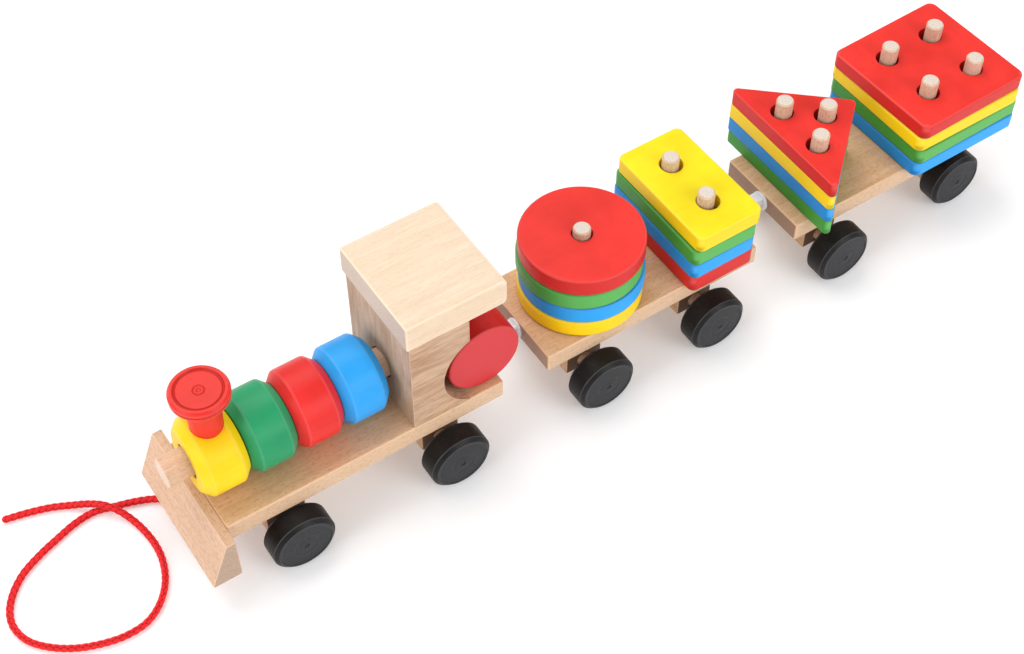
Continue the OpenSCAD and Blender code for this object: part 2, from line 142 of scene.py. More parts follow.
# Points of the cord's middle line, from behind the bumper to the free end
ROUTE = [
    (-182.0, 2.0, 28.0), (-182.6, 4.0, 22.0), (-185.4, 10.0, 10.0), (-190.4, 19.0, 3.0),
    (-197.4, 26.1, 1.5), (-205.0, 29.6, 1.5), (-213.0, 32.0, 1.5), (-220.5, 33.9, 1.5),
    (-228.5, 33.2, 1.5), (-237.5, 30.5, 1.5), (-246.0, 27.5, 1.5), (-254.5, 23.4, 1.5),
    (-261.2, 17.6, 1.5), (-265.6, 10.8, 1.5), (-267.0, 3.6, 1.5), (-264.8, -4.4, 1.5),
    (-259.0, -11.4, 1.5), (-251.5, -16.8, 1.5), (-243.0, -20.4, 1.5), (-234.0, -22.4, 1.5),
    (-225.0, -21.8, 1.5), (-217.5, -17.6, 1.5), (-211.4, -10.4, 1.5), (-207.8, -1.4, 1.5),
    (-206.8, 8.0, 1.5), (-208.2, 18.4, 1.6), (-211.4, 26.4, 3.2), (-215.6, 32.0, 4.7),
    (-220.4, 37.0, 3.5), (-226.4, 41.6, 1.7), (-233.6, 45.2, 1.5), (-242.4, 48.0, 1.5),
    (-252.0, 50.2, 1.5),
]

# ---------------------------------------------------------------- mesh tools


def finish_mesh(name, bm, material, body, sharp=38.0, weighted=True):
    """Turns a bmesh in mm into a named, shaded object that rides on a body."""
    bmesh.ops.remove_doubles(bm, verts=bm.verts, dist=1e-5)
    bmesh.ops.recalc_face_normals(bm, faces=bm.faces)
    me = bpy.data.meshes.new(name)
    bm.to_mesh(me)
    bm.free()
    me.transform(Matrix.Scale(MM, 4))
    for p in me.polygons:
        p.use_smooth = True
    me.set_sharp_from_angle(angle=math.radians(sharp))
    o = bpy.data.objects.new(name, me)
    bpy.context.scene.collection.objects.link(o)
    me.materials.append(material)
    if weighted:
        m = o.modifiers.new("Normals", "WEIGHTED_NORMAL")
        m.keep_sharp = True
        m.weight = 80
    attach(o, body)
    return o


def edge_layer(bm):
    return bm.verts.layers.float.get("edge") or bm.verts.layers.float.new("edge")


def rounded(points, radii, steps=6, closed=True):
    """A 2-D outline with arcs at its corners: a list of (u, v, edge)."""
    out = []
    n = len(points)
    for i, p in enumerate(points):
        r = radii[i] if isinstance(radii, (list, tuple)) else radii
        if not closed and i in (0, n - 1) or r <= 0:
            out.append((p[0], p[1], 0.0))
            continue
        p = Vector(p)
        a = Vector(points[i - 1]) - p
        b = Vector(points[(i + 1) % n]) - p
        half = a.angle(b) / 2
        d = min(r / math.tan(half), 0.49 * a.length, 0.49 * b.length)
        r = d * math.tan(half)
        c = p + (a.normalized() + b.normalized()).normalized() * (r / math.sin(half))
        s = p + a.normalized() * d - c
        e = p + b.normalized() * d - c
        turn = s.angle_signed(e)
        for k in range(steps + 1):
            t = -turn * k / steps
            q = Vector((
                s.x * math.cos(t) - s.y * math.sin(t),
                s.x * math.sin(t) + s.y * math.cos(t),
            ))
            out.append((c.x + q.x, c.y + q.y, math.sin(math.pi * k / steps)))
    return out


class Outline:
    """A polygon with a radius at each corner, which can be drawn moved inwards by any distance."""

    def __init__(self, points, radii=0.0, steps=6):
        self.points = [Vector(p[:2]) for p in points]
        self.radii = list(radii) if isinstance(radii, (list, tuple)) else [radii] * len(points)
        self.steps = steps
        if self.area() < 0:
            self.points.reverse()
            self.radii.reverse()

    def area(self):
        return sum(self.points[i - 1].cross(p) for i, p in enumerate(self.points)) / 2

    def at(self, d):
        pts = []
        radii = []
        n = len(self.points)
        for i, p in enumerate(self.points):
            e1 = (p - self.points[i - 1]).normalized()
            e2 = (self.points[(i + 1) % n] - p).normalized()
            m = Vector((-e1.y - e2.y, e1.x + e2.x))
            pts.append(p + m * (2 * d / max(m.dot(m), 0.15)))
            bend = 1 if e1.cross(e2) > 0 else -1
            r = self.radii[i]
            radii.append(0.0 if r <= 0 else max(r - bend * d, 0.03))
        return rounded(pts, radii, self.steps)


class Circle:
    """A round outline. With hole=True it grows, not shrinks, as it moves into the solid."""

    def __init__(self, x, y, r, n, hole=True):
        self.c, self.r, self.n, self.hole = (x, y), r, n, hole

    def at(self, d):
        r = self.r + d if self.hole else self.r - d
        step = 2 * math.pi / self.n
        angles = [k * step for k in range(self.n)]
        return [(self.c[0] + r * math.cos(a), self.c[1] + r * math.sin(a), 0.0) for a in angles]


def place(axis, u, v, w):
    """(u, v) in the section's plane and w along the axis."""
    if axis == "z":
        return Vector((u, v, w))
    if axis == "y":
        return Vector((u, w, v))
    return Vector((w, u, v))


def prism(bm, axis, outline, w0, w1, bevel, holes=(), hole_bevel=0.5, steps=5, fade=1.6):
    """A board or block: an outline with holes, extruded along an axis, its rims rounded over.

    Extra loops just inside the rims keep the flats flat and carry the wear and the painted
    highlight at the edges."""
    lay = edge_layer(bm)
    top_edges = []
    bottom_edges = []
    for shape, b in [(outline, bevel)] + [(h, hole_bevel) for h in holes]:
        f = fade if shape is outline else min(fade, 0.8)
        rows = [(w0, b + f, 0.0)]
        for k in range(steps + 1):
            t = math.pi / 2 * k / steps
            rows.append((w0 + b * (1 - math.cos(t)), b * (1 - math.sin(t)), math.sin(2 * t)))
        rows.append((w0 + b + min(f, (w1 - w0) / 2 - b - 0.05), 0.0, 0.0))
        rows += [(w0 + w1 - w, d, e) for w, d, e in reversed(rows)]
        verts = []
        for w, d, e in rows:
            row = []
            for u, v, corner in shape.at(d):
                vert = bm.verts.new(place(axis, u, v, w))
                vert[lay] = max(e, corner if d <= b else 0.0)
                row.append(vert)
            verts.append(row)
        n = len(verts[0])
        for r0, r1 in zip(verts, verts[1:]):
            for i in range(n):
                bm.faces.new((r0[i - 1], r0[i], r1[i], r1[i - 1]))
        for row, edges in ((verts[0], bottom_edges), (verts[-1], top_edges)):
            edges += [bm.edges.get((row[i - 1], row[i])) for i in range(n)]
    for edges in (bottom_edges, top_edges):
        bmesh.ops.triangle_fill(bm, use_beauty=True, use_dissolve=False, edges=edges)


def lathe(bm, axis, centre, profile, segments, flip=1):
    """Turns a profile of (radius, height, edge) about an axis; flip = -1 turns it end for end."""
    lay = edge_layer(bm)
    c = Vector(centre)
    rows = []
    for r, h, e in profile:
        h = h * flip
        if r < 1e-6:
            v = bm.verts.new(c + place(axis, 0, 0, h))
            v[lay] = e
            rows.append([v])
            continue
        row = []
        for k in range(segments):
            a = 2 * math.pi * k / segments
            v = bm.verts.new(c + place(axis, r * math.cos(a), r * math.sin(a), h))
            v[lay] = e
            row.append(v)
        rows.append(row)
    for r0, r1 in zip(rows, rows[1:]):
        for k in range(segments):
            if len(r0) == 1 and len(r1) == 1:
                continue
            if len(r0) == 1:
                bm.faces.new((r0[0], r1[k], r1[k - 1]))
            elif len(r1) == 1:
                bm.faces.new((r0[k - 1], r0[k], r1[0]))
            else:
                bm.faces.new((r0[k - 1], r0[k], r1[k], r1[k - 1]))
    if len(rows[0]) > 1 and len(rows[-1]) > 1:
        r0, r1 = rows[-1], rows[0]
        for k in range(segments):
            bm.faces.new((r0[k - 1], r0[k], r1[k], r1[k - 1]))


def cut(o, bm_tool):
    """Cuts a solid out of an object's mesh, with Blender's exact boolean."""
    me = bpy.data.meshes.new("tool")
    bmesh.ops.recalc_face_normals(bm_tool, faces=bm_tool.faces)
    bm_tool.to_mesh(me)
    bm_tool.free()
    me.transform(Matrix.Scale(MM, 4))
    t = bpy.data.objects.new("tool", me)
    bpy.context.scene.collection.objects.link(t)
    m = o.modifiers.new("Cut", "BOOLEAN")
    m.operation = "DIFFERENCE"
    m.solver = "EXACT"
    m.object = t
    others = [x for x in o.modifiers if x != m]
    for x in others:
        x.show_viewport = False
    bpy.context.view_layer.update()
    deps = bpy.context.evaluated_depsgraph_get()
    new = bpy.data.meshes.new_from_object(o.evaluated_get(deps))
    old = o.data
    new.name = old.name
    o.modifiers.remove(m)
    for x in others:
        x.show_viewport = True
    o.data = new
    bpy.data.objects.remove(t)
    for p in new.polygons:
        p.use_smooth = True
    new.set_sharp_from_angle(angle=math.radians(38))


# ---------------------------------------------------------------- material tools


class Tree:
    """A short way to write a material's nodes."""

    def __init__(self, name):
        self.mat = bpy.data.materials.new(name)
        self.mat.use_nodes = True
        self.nt = self.mat.node_tree
        self.bsdf = self.nt.nodes["Principled BSDF"]

    def add(self, kind, **kw):
        n = self.nt.nodes.new(kind)
        for k, v in kw.items():
            setattr(n, k, v)
        return n

    def link(self, a, b):
        self.nt.links.new(a, b)

    def coords(self, grain, seed):
        """Object coordinates in metres, with the first axis along the grain."""
        tc = self.add("ShaderNodeTexCoord")
        sep = self.add("ShaderNodeSeparateXYZ")
        self.link(tc.outputs["Object"], sep.inputs[0])
        com = self.add("ShaderNodeCombineXYZ")
        order = {"x": "XYZ", "y": "YXZ", "z": "ZXY"}[grain]
        for i, a in enumerate(order):
            self.link(sep.outputs[a], com.inputs[i])
        off = self.add("ShaderNodeVectorMath", operation="ADD")
        self.link(com.outputs[0], off.inputs[0])
        off.inputs[1].default_value = (0.173 * seed, 0.091 * seed, 0.057 * seed)
        return off.outputs[0]

    def stretch(self, vec, along):
        n = self.add("ShaderNodeVectorMath", operation="MULTIPLY")
        self.link(vec, n.inputs[0])
        n.inputs[1].default_value = (along, 1.0, 1.0)
        return n.outputs[0]

    def noise(self, vec, scale, detail=2.0, rough=0.5, distort=0.0):
        n = self.add("ShaderNodeTexNoise")
        self.link(vec, n.inputs["Vector"])
        n.inputs["Scale"].default_value = scale
        n.inputs["Detail"].default_value = detail
        n.inputs["Roughness"].default_value = rough
        n.inputs["Distortion"].default_value = distort
        return n.outputs["Fac"]

    def remap(self, fac, a, b, c=0.0, d=1.0):
        n = self.add("ShaderNodeMapRange")
        self.link(fac, n.inputs["Value"])
        n.inputs["From Min"].default_value = a
        n.inputs["From Max"].default_value = b
        n.inputs["To Min"].default_value = c
        n.inputs["To Max"].default_value = d
        return n.outputs["Result"]

    def mix(self, fac, a, b):
        """Two colours mixed; 6, 7 and 2 are the sockets that a colour mix uses."""
        n = self.add("ShaderNodeMix", data_type="RGBA")
        self.link(fac, n.inputs["Factor"])
        for v, s in ((a, n.inputs[6]), (b, n.inputs[7])):
            if isinstance(v, tuple):
                s.default_value = (*v, 1.0)
            else:
                self.link(v, s)
        return n.outputs[2]

    def math(self, op, a, b):
        n = self.add("ShaderNodeMath", operation=op)
        for v, s in ((a, n.inputs[0]), (b, n.inputs[1])):
            if isinstance(v, float):
                s.default_value = v
            else:
                self.link(v, s)
        return n.outputs[0]

    def edge(self):
        n = self.add("ShaderNodeAttribute", attribute_name="edge")
        return n.outputs["Fac"]

    def facing(self, axis, strength, low=0.75, high=0.95):
        """How squarely a face looks along an axis of its own object, from nought to strength."""
        tc = self.add("ShaderNodeTexCoord")
        sep = self.add("ShaderNodeSeparateXYZ")
        self.link(tc.outputs["Normal"], sep.inputs[0])
        return self.remap(self.math("ABSOLUTE", sep.outputs[axis], 0.0), low, high, 0.0, strength)

    def bump(self, height, strength, distance, normal=None):
        n = self.add("ShaderNodeBump")
        self.link(height, n.inputs["Height"])
        n.inputs["Strength"].default_value = strength
        n.inputs["Distance"].default_value = distance
        if normal is not None:
            self.link(normal, n.inputs["Normal"])
        return n.outputs["Normal"]

    def out(self, color, rough, normal, **fixed):
        """Links the shader's three inputs and sets the fixed ones, then gives the material."""
        self.link(color, self.bsdf.inputs["Base Color"])
        self.link(rough, self.bsdf.inputs["Roughness"])
        self.link(normal, self.bsdf.inputs["Normal"])
        for k, v in fixed.items():
            self.bsdf.inputs[k.replace("_", " ")].default_value = v
        return self.mat


def wood(name, light, dark, grain="x", seed=1, fleck=0.40, end=None, side=None):
    """Sanded beech: soft growth bands, fine fibres and the short dark ray flecks.

    end is the tone of the end grain, side that of the paler faces toward Y, both found by the
    direction that a face looks in."""
    t = Tree(name)
    v = t.coords(grain, seed)
    bands = t.noise(t.stretch(v, 0.07), 330.0, 3.0, 0.55, 0.4)
    broad = t.noise(t.stretch(v, 0.15), 42.0, 2.0, 0.5, 0.2)
    fibre = t.noise(t.stretch(v, 0.03), 2600.0, 2.0, 0.6)
    rays = t.noise(t.stretch(v, 0.24), 2000.0, 1.0, 0.5)
    color = t.mix(t.remap(bands, 0.32, 0.70), light, dark)
    if side is not None:
        color = t.mix(t.facing("Y", 0.75), color, side)
    warm = tuple(c * k for c, k in zip(light, (0.98, 0.88, 0.76)))
    color = t.mix(t.remap(broad, 0.40, 0.75, 0.0, 0.45), color, warm)
    shade = tuple(c * k for c, k in zip(dark, (0.66, 0.52, 0.42)))
    color = t.mix(t.remap(rays, 0.54, 0.66, 0.0, fleck), color, shade)
    color = t.mix(t.remap(fibre, 0.30, 0.70, 0.0, 0.26), color, shade)
    if end is not None:
        pores = t.noise(v, 1600.0, 2.0, 0.6)
        tone = t.mix(t.remap(pores, 0.35, 0.65), end, tuple(c * 0.80 for c in end))
        color = t.mix(t.facing(grain.upper(), 0.85), color, tone)
    # Rims painted paler: wear and a painted highlight
    worn_rim_highlight = tuple(min(1.0, c * 1.16) for c in light)
    color = t.mix(t.remap(t.edge(), 0.2, 1.0, 0.0, 0.55), color, worn_rim_highlight)
    rough = t.remap(fibre, 0.3, 0.7, 0.42, 0.58)
    n1 = t.bump(fibre, 0.22, 0.00008)
    n2 = t.bump(t.remap(rays, 0.56, 0.70, 1.0, 0.0), 0.20, 0.00010, n1)
    n3 = t.bump(bands, 0.12, 0.00025, n2)
    return t.out(color, rough, n3, Specular_IOR_Level=0.30, Coat_Weight=0.03, Coat_Roughness=0.35)


def cab_wood(name):
    """The cab's browner beech: wavy figure along X, a streaked end grain at the front."""
    t = Tree(name)
    v = t.coords("x", 7)
    figure = t.noise(t.stretch(v, 0.22), 210.0, 4.0, 0.62, 1.6)
    broad = t.noise(v, 36.0, 2.0, 0.5, 0.5)
    fibre = t.noise(t.stretch(v, 0.05), 2300.0, 2.0, 0.6)
    pores = t.noise(v, 1500.0, 2.0, 0.6)
    color = t.mix(t.remap(figure, 0.36, 0.62), *CAB)
    color = t.mix(t.remap(broad, 0.42, 0.66, 0.0, 0.40), color, (0.60, 0.42, 0.30))
    color = t.mix(t.remap(fibre, 0.45, 0.70, 0.0, 0.45), color, (0.24, 0.120, 0.060))
    w = t.coords("z", 17)
    streak = t.noise(t.stretch(w, 0.10), 420.0, 4.0, 0.65, 0.8)
    front = t.mix(t.remap(broad, 0.36, 0.64), (0.62, 0.440, 0.320), (0.47, 0.295, 0.180))
    front = t.mix(t.remap(streak, 0.44, 0.72, 0.0, 0.70), front, (0.29, 0.170, 0.100))
    front = t.mix(t.remap(pores, 0.50, 0.70, 0.0, 0.25), front, (0.26, 0.15, 0.09))
    color = t.mix(t.facing("X", 1.0), color, front)
    # Rims painted paler: wear and a painted highlight
    color = t.mix(t.remap(t.edge(), 0.2, 1.0, 0.0, 0.55), color, (0.72, 0.52, 0.38))
    rough = t.remap(fibre, 0.3, 0.7, 0.44, 0.60)
    n1 = t.bump(fibre, 0.25, 0.00010)
    n2 = t.bump(figure, 0.18, 0.00025, n1)
    n3 = t.bump(pores, 0.10, 0.00010, n2)
    return t.out(color, rough, n3, Specular_IOR_Level=0.30, Coat_Weight=0.02, Coat_Roughness=0.35)


def paint(name, base, grain="x", seed=1, worn=0.72, side=None, end=None, specks=0.0):
    """Satin paint over wood: the grain tells through, rims are painted lighter as a highlight and
    are nicked.

    edge below nought marks a groove or a rim in shade, which is painted darker as shade. side is
    the tone of the faces toward X, end that of the faces toward Y: copies of the paint made darker
    or lighter to paint in the shade and light on those faces."""
    t = Tree(name)
    v = t.coords(grain, seed)
    bands = t.noise(t.stretch(v, 0.08), 300.0, 3.0, 0.55, 0.3)
    fibre = t.noise(t.stretch(v, 0.05), 1700.0, 2.0, 0.6)
    blotch = t.noise(v, 38.0, 3.0, 0.55)
    peel = t.noise(v, 900.0, 2.0, 0.5)
    chips = t.noise(v, 300.0, 3.0, 0.65)
    dust = t.noise(v, 1500.0, 0.0, 0.5)
    deep = tuple(c * 0.80 for c in base)
    lift = tuple(min(1.0, c * 1.05 + 0.006) for c in base)
    color = t.mix(t.remap(blotch, 0.30, 0.72), deep, lift)
    color = t.mix(t.remap(bands, 0.50, 0.75, 0.0, 0.25), color, deep)
    color = t.mix(t.remap(fibre, 0.50, 0.75, 0.0, 0.20), color, deep)
    # Faces toward X and toward Y take the side and end tones: painted shade and painted light
    if side is not None:
        color = t.mix(t.facing("X", 0.85, 0.35, 0.80), color, side)
    if end is not None:
        color = t.mix(t.facing("Y", 0.85, 0.35, 0.80), color, end)
    if specks:
        speck = tuple(c * 0.35 for c in base)
        color = t.mix(t.remap(dust, 0.765, 0.785, 0.0, specks), color, speck)
    # Rims painted lighter: a painted highlight
    rim = tuple(min(1.0, c * 0.84 + 0.10) for c in base)
    edge = t.edge()
    color = t.mix(t.remap(edge, 0.3, 1.0, 0.0, 0.40), color, rim)
    # Grooves and the plates' lower rims painted dark: painted shade
    color = t.mix(t.remap(edge, -0.8, 0.0, 0.75, 0.0), color, tuple(c * 0.40 for c in base))
    bare = t.math("MULTIPLY", t.remap(edge, 0.45, 0.95), t.remap(chips, worn, worn + 0.04))
    color = t.mix(bare, color, (0.62, 0.46, 0.32))
    rough = t.remap(blotch, 0.3, 0.7, 0.36, 0.46)
    n1 = t.bump(fibre, 0.14, 0.00010)
    n2 = t.bump(bands, 0.16, 0.00030, n1)
    n3 = t.bump(peel, 0.08, 0.00012, n2)
    n4 = t.bump(bare, 0.5, 0.00012, n3)
    n4.node.invert = True
    return t.out(color, rough, n4, Specular_IOR_Level=0.20, Coat_Weight=0.04, Coat_Roughness=0.25)


def satin_black(name):
    t = Tree(name)
    v = t.coords("y", 3)
    fine = t.noise(v, 1400.0, 3.0, 0.6)
    blotch = t.noise(v, 90.0, 3.0, 0.6)
    scuff = t.noise(t.stretch(v, 3.0), 520.0, 3.0, 0.7)
    color = t.mix(t.remap(blotch, 0.3, 0.7), (0.004, 0.0035, 0.0035), (0.009, 0.008, 0.008))
    color = t.mix(t.facing("Y", 0.80), color, (0.026, 0.027, 0.030))
    # Rims painted a lighter grey: a painted highlight
    color = t.mix(t.remap(t.edge(), 0.3, 1.0, 0.0, 0.7), color, (0.085, 0.086, 0.092))
    color = t.mix(t.remap(scuff, 0.60, 0.70, 0.0, 0.30), color, (0.060, 0.060, 0.064))
    rough = t.remap(fine, 0.3, 0.7, 0.38, 0.52)
    n1 = t.bump(fine, 0.12, 0.00010)
    n2 = t.bump(scuff, 0.12, 0.00015, n1)
    return t.out(color, rough, n2, Specular_IOR_Level=0.22)


def milky_plastic(name):
    t = Tree(name)
    v = t.coords("x", 5)
    cloud = t.noise(v, 260.0, 3.0, 0.5)
    fine = t.noise(v, 1800.0, 2.0, 0.5)
    color = t.mix(t.remap(cloud, 0.3, 0.7), (0.86, 0.85, 0.90), (0.95, 0.94, 0.97))
    rough = t.remap(cloud, 0.3, 0.7, 0.16, 0.28)
    n1 = t.bump(fine, 0.05, 0.00008)
    return t.out(
        color, rough, n1, Transmission_Weight=0.12, IOR=1.49,
        Subsurface_Weight=0.30, Subsurface_Radius=(0.004, 0.004, 0.004), Subsurface_Scale=1.0,
    )


def braid_red(name):
    t = Tree(name)
    v = t.coords("x", 7)
    fuzz = t.noise(v, 4200.0, 3.0, 0.7)
    tone = t.noise(v, 120.0, 2.0, 0.5)
    color = t.mix(t.remap(tone, 0.3, 0.7), (0.74, 0.010, 0.014), (0.84, 0.018, 0.020))
    lay = t.add("ShaderNodeAttribute", attribute_name="valley")
    # The valleys between the strands are painted dark: painted shade in the creases of the braid
    color = t.mix(t.remap(lay.outputs["Fac"], 0.25, 0.75, 0.85, 0.0), color, (0.13, 0.002, 0.006))
    color = t.mix(t.remap(fuzz, 0.60, 0.80, 0.0, 0.35), color, (0.90, 0.09, 0.10))
    rough = t.remap(fuzz, 0.3, 0.7, 0.62, 0.80)
    n1 = t.bump(fuzz, 0.35, 0.00010)
    return t.out(color, rough, n1, Sheen_Weight=0.10, Sheen_Roughness=0.5, Specular_IOR_Level=0.20)


# Woods: a light and a dark tone
TAN = ((0.760, 0.500, 0.310), (0.640, 0.390, 0.215))
ROOF = ((0.830, 0.680, 0.520), (0.760, 0.590, 0.430))
BUMPER = ((0.740, 0.505, 0.355), (0.650, 0.430, 0.290))
CAB = ((0.620, 0.400, 0.255), (0.430, 0.245, 0.140))
PEG = ((0.720, 0.560, 0.430), (0.600, 0.430, 0.310))
# Paints
RED = (0.820, 0.030, 0.020)
# A darker red painted on the plates' sides as shade; the drum also takes it as its own deep red
RED_DEEP_AND_SHADED = (0.600, 0.012, 0.010)
# A lighter, pinker red painted on the drum's ends as light falling on them
CRIMSON_LIT_END = (0.640, 0.040, 0.048)
YELLOW = (0.960, 0.760, 0.004)
# An orange copy of the yellow, painted on the plates' sides as shade
YELLOW_SHADED_SIDE = (0.960, 0.620, 0.001)
RING_YELLOW = (0.950, 0.650, 0.001)
RING_RED = (0.790, 0.024, 0.020)
CHIMNEY_RED = (0.830, 0.030, 0.018)
GREEN = (0.070, 0.360, 0.050)
# Green darkened as painted shade for faces toward X, lightened as painted light for faces toward Y
GREEN_SHADED_SIDE = (0.050, 0.300, 0.035)
GREEN_LIT_END = (0.100, 0.430, 0.090)
SEA_GREEN = (0.018, 0.330, 0.130)
BLUE = (0.010, 0.300, 0.780)
# Blue darkened as painted shade for faces toward X, lightened as painted light for faces toward Y
BLUE_SHADED_SIDE = (0.010, 0.250, 0.660)
BLUE_LIT_END = (0.018, 0.360, 0.860)
SKY_BLUE = (0.022, 0.360, 0.860)

black = satin_black("wheel_black")
plastic = milky_plastic("coupling_plastic")
cord_mat = braid_red("cord_braid")

# The plates' tones: top, faces toward X, faces toward Y; the last two are darker or lighter copies
# of the top, painted shade and painted light
COLORS = {
    "red": (RED, RED_DEEP_AND_SHADED, RED_DEEP_AND_SHADED),
    "yellow": (YELLOW, YELLOW_SHADED_SIDE, YELLOW_SHADED_SIDE),
    "green": (GREEN, GREEN_SHADED_SIDE, GREEN_LIT_END),
    "blue": (BLUE, BLUE_SHADED_SIDE, BLUE_LIT_END),
}

# ---------------------------------------------------------------- the cord


def smooth_route(points, step):
    """Catmull-Rom through the route, as in the CAD, then points at an even spacing."""
    pts = [Vector(p) for p in points]
    raw = []
    n = len(pts)
    for i in range(n - 1):
        a, b, c, d = pts[max(i - 1, 0)], pts[i], pts[i + 1], pts[min(i + 2, n - 1)]
        for k in range(24):
            t = k / 24
            raw.append(
                0.5 * (2 * b + (c - a) * t + (2 * a - 5 * b + 4 * c - d) * t * t
                       + (3 * b - a - 3 * c + d) * t ** 3)
            )
    raw.append(pts[-1])
    dist = [0.0]
    for p, q in zip(raw, raw[1:]):
        dist.append(dist[-1] + (q - p).length)
    total = dist[-1]
    count = int(total / step)
    out = []
    j = 0
    for k in range(count + 1):
        s = total * k / count
        while j < len(dist) - 2 and dist[j + 1] < s:
            j += 1
        f = (s - dist[j]) / max(dist[j + 1] - dist[j], 1e-9)
        out.append(raw[j].lerp(raw[j + 1], f))
    return out, total


def make_cord():
    """A round braid: two families of strands that pass over and under each other."""
    line, total = smooth_route(ROUTE, step=0.22)
    r0 = CORD_D / 2
    sides = 40
    # A strand is an oval bump of half this width and length; it leans, and repeats every pitch
    strand_width, strand_length, slope, pitch = 1.45, 1.55, 0.62, 2.7
    # The free end closes over this length
    tip_length = 1.6
    bm = bmesh.new()
    valley = bm.verts.layers.float.new("valley")
    up = Vector((0, 0, 1))
    tan = (line[1] - line[0]).normalized()
    side = tan.cross(up).normalized()
    rows = []
    n = len(line)
    for i, p in enumerate(line):
        t = (line[min(i + 1, n - 1)] - line[max(i - 1, 0)]).normalized()
        side = (side - t * side.dot(t)).normalized()
        b = side.cross(t)
        s = total * i / (n - 1)
        tip = total - s
        close = 1.0
        if tip < tip_length:
            close = math.sqrt(max(0.0, 1 - ((tip_length - tip) / tip_length) ** 2))
        row = []
        for k in range(sides):
            a = 2 * math.pi * k / sides
            h = 0.0
            for c in range(4):
                u = ((a - math.pi / 4 * (2 * c + 1) + math.pi) % (2 * math.pi) - math.pi) * r0
                if abs(u) > strand_width:
                    continue
                lean = slope if c % 2 else -slope
                w = s - lean * u - (c % 2) * pitch / 2
                w -= pitch * round(w / pitch)
                h = max(h, 1 - (u / strand_width) ** 2 - (w / strand_length) ** 2)
            h = math.sqrt(max(h, 0.0))
            fuzz = 0.015 * noise.noise(Vector((k * 0.9, s * 2.3, 0.0)))
            r = r0 * (0.62 + 0.38 * h + fuzz) * max(close, 0.02)
            q = p + side * (r * math.cos(a)) + b * (r * math.sin(a))
            vert = bm.verts.new(q)
            vert[valley] = h
            row.append(vert)
        rows.append(row)
    for r_a, r_b in zip(rows, rows[1:]):
        for k in range(sides):
            bm.faces.new((r_a[k - 1], r_a[k], r_b[k], r_b[k - 1]))
    bm.faces.new(rows[0])
    bm.faces.new(rows[-1])
    o = finish_mesh("Pull_cord", bm, cord_mat, "locomotive", sharp=80, weighted=False)
    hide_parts("pull_cord")


make_cord()

# ---------------------------------------------------------------- boards and blocks


def piece(name, node, body, material, bm):
    """Makes the piece that stands for one CAD node."""
    o = finish_mesh(name, bm, material, body)
    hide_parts(node)
    return o


for name, node, body, (x0, x1), seed in (
    ("Deck_locomotive", "loco_deck", "locomotive", LOCO, 1),
    ("Deck_wagon_1", "wagon_1_deck", "wagon_1", W1, 2),
    ("Deck_wagon_2", "wagon_2_deck", "wagon_2", W2, 3),
):
    deck_wood = wood(
        "deck_wood_%d" % seed, *TAN, "x", seed, end=(0.38, 0.23, 0.15), side=(0.74, 0.54, 0.37)
    )
    bm = bmesh.new()
    outline = Outline([(x0, -HALF), (x1, -HALF), (x1, HALF), (x0, HALF)], 1.0)
    prism(bm, "z", outline, DECK_BOTTOM, DECK_TOP, 0.8)
    piece(name, node, body, deck_wood, bm)


def profile_block(
    name, node, body, material, outline, half, bevel, holes=(), fade=1.6
):
    """A block with its outline in the XZ plane, reaching half to either side."""
    bm = bmesh.new()
    prism(bm, "y", outline, -half, half, bevel, holes, 0.35, fade=fade)
    piece(name, node, body, material, bm)


foot = DECK_TOP - BUMPER_HEIGHT
back = LOCO[0]
profile_block(
    "Bumper", "front_bumper", "locomotive",
    wood("bumper_wood", *BUMPER, "y", 4, 0.5, end=(0.46, 0.320, 0.235)),
    Outline(
        [(back - BUMPER_FOOT, foot), (back, foot), (back, DECK_TOP),
         (back - BUMPER_TOP, DECK_TOP), (back - BUMPER_FOOT, foot + 1.4)],
        [0.4, 0.6, 0.5, 0.6, 0.4],
    ),
    BUMPER_HALF, 0.45, fade=0.12,
)

# Section, end, body, place in X and how far the wheel pair sits to one side
AXLE_PLACES = (
    ("loco", "front", "locomotive", -160.8, -1.4),
    ("loco", "rear", "locomotive", -91.4, -2.6),
    ("wagon_1", "front", "wagon_1", W1[0] + 22.3, -3.5),
    ("wagon_1", "rear", "wagon_1", W1[0] + 79.0, -3.5),
    ("wagon_2", "front", "wagon_2", W2[0] + 21.3, -3.5),
    ("wagon_2", "rear", "wagon_2", W2[0] + 91.9, 3.5),
)
# The blocks' faces toward Y are their end grain, painted near black as the shadow under the deck
block_wood_shadowed_ends = wood("block_wood_shadowed_ends", *TAN, "y", 5, end=(0.16, 0.085, 0.05))
axle_wood = wood("axle_wood", *BUMPER, "y", 6)
AXLE = rounded(
    [(0, -AXLE_HALF), (AXLE_R, -AXLE_HALF), (AXLE_R, AXLE_HALF), (0, AXLE_HALF)], 0.3, 3, False,
)
